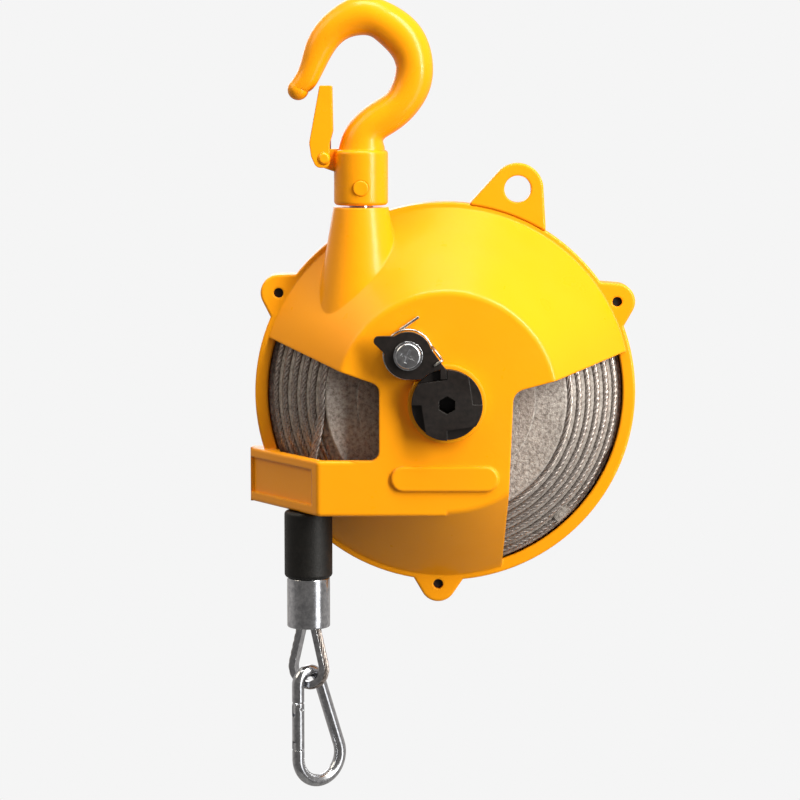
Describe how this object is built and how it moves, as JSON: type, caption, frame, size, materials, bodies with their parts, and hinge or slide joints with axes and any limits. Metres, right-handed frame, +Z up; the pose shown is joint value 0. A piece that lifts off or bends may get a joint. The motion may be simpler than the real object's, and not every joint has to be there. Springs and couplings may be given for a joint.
{
  "type": "spring balancer",
  "caption": "Hanging spring balancer with a taper rope drum, ratchet tension setting, swivelling safety-latched top hook and a snap hook on a wire rope.",
  "frame": {"origin": "centre of the top hook's bowl, where the bar or trolley it hangs from passes, on the swivel's axis", "axes": "+Z up along the hook's shank, opposite to the rope's pull; -Y is the front, with the ratchet; +X to the right seen from the front"},
  "size_m": [0.203, 0.1003, 0.4129],
  "materials": {
    "case_paint": "glossy orange-yellow enamel on cast aluminium",
    "hook_paint": "glossy yellow enamel on forged steel",
    "zinc_steel": "bright zinc plate",
    "black_steel": "black oxide, satin",
    "cast_alloy": "sand-cast aluminium, matt and grainy",
    "wire_rope": "galvanised stranded wire rope",
    "alloy_ferrule": "pressed aluminium",
    "spring_steel": "blued spring strip, oiled",
    "spring_wire": "bright spring wire",
    "bronze": "sintered bronze",
    "nylon": "natural nylon",
    "rubber": "black moulded rubber"
  },
  "bodies": {
    "hook": {"top_hook": "hook_paint", "hook_pin": "hook_paint", "swivel_stud": "zinc_steel", "thrust_washer": "bronze", "latch_rivet": "hook_paint", "latch_spring": "spring_wire"},
    "latch": {"hook_latch": "hook_paint"},
    "housing": {"front_case": "case_paint", "safety_ear": "case_paint", "front_bosses": "case_paint", "back_cover": "case_paint", "case_screws": "black_steel", "rope_guide": "nylon", "front_bush": "bronze", "rear_bush": "bronze", "pawl_washer": "zinc_steel", "pawl_screw": "zinc_steel", "pawl_spring": "spring_wire", "cable_run": "wire_rope"},
    "drum": {"taper_drum": "cast_alloy", "wound_cable": "wire_rope", "cable_anchor": "cast_alloy", "spring_cover": "zinc_steel", "spring_cover_screws": "zinc_steel", "power_spring": "spring_steel", "spring_pin": "zinc_steel", "drum_bearing_front": "bronze", "drum_bearing_rear": "bronze"},
    "arbor": {"main_shaft": "black_steel", "ratchet_wheel": "black_steel", "shaft_circlip": "spring_steel"},
    "pawl": {"pawl_lever": "black_steel"},
    "load_line": {"bumper": "rubber", "cable_sleeve": "zinc_steel", "cable_ferrule": "alloy_ferrule", "cable_eye": "wire_rope", "cable_thimble": "zinc_steel", "cable_tail": "wire_rope"},
    "snap_hook": {"snap_hook_body": "zinc_steel", "gate_rivet": "zinc_steel"},
    "snap_gate": {"snap_gate": "zinc_steel"}
  },
  "joints": [
    {"name": "hook_swivel", "type": "hinge", "parent": "hook", "child": "housing", "pos_m": [0, 0, -0.07], "axis": [0, 0, 1], "continuous": true},
    {"name": "hook_latch_hinge", "type": "hinge", "parent": "hook", "child": "latch", "pos_m": [-0.019, 0, -0.0423], "axis": [0, 1, 0], "range_deg": [0, 26], "stiffness_Nm_per_rad": 0.02, "springref_deg": -22.92, "deforming": ["latch_spring"]},
    {"name": "drum_spin", "type": "hinge", "parent": "housing", "child": "drum", "pos_m": [0.044, 0.008, -0.1655], "axis": [0, -1, 0], "range_deg": [0, 1226], "stiffness_Nm_per_rad": 0.22, "springref_deg": -1833.46, "deforming": ["power_spring"]},
    {"name": "cable_pull", "type": "slide", "parent": "housing", "child": "load_line", "axis": [0, 0, -1], "range_m": [0, 1.5], "deforming": ["cable_tail"]},
    {"name": "ratchet_wind", "type": "hinge", "parent": "housing", "child": "arbor", "pos_m": [0.044, 0.008, -0.1655], "axis": [0, 1, 0], "range_deg": [0, 88]},
    {"name": "pawl_lift", "type": "hinge", "parent": "housing", "child": "pawl", "pos_m": [0.0243, -0.048, -0.1403], "axis": [0, -1, 0], "range_deg": [0, 27.28], "deforming": ["pawl_spring"]},
    {"name": "snap_hook_swing", "type": "hinge", "parent": "load_line", "child": "snap_hook", "pos_m": [-0.0275, -0.013, -0.3076], "axis": [0.4384, 0.8988, 0], "range_deg": [-40, 40]},
    {"name": "snap_gate_hinge", "type": "hinge", "parent": "snap_hook", "child": "snap_gate", "pos_m": [-0.03302, -0.01731, -0.3285], "axis": [0.6157, -0.788, 0], "range_deg": [0, 24], "stiffness_Nm_per_rad": 0.02, "springref_deg": -28.65}
  ],
  "couplings": [
    {"joint": "cable_pull", "follows": "drum_spin", "m_per_rad": 0.0701},
    {"joint": "pawl_lift", "follows": "ratchet_wind", "ratio": 0.31}
  ]
}
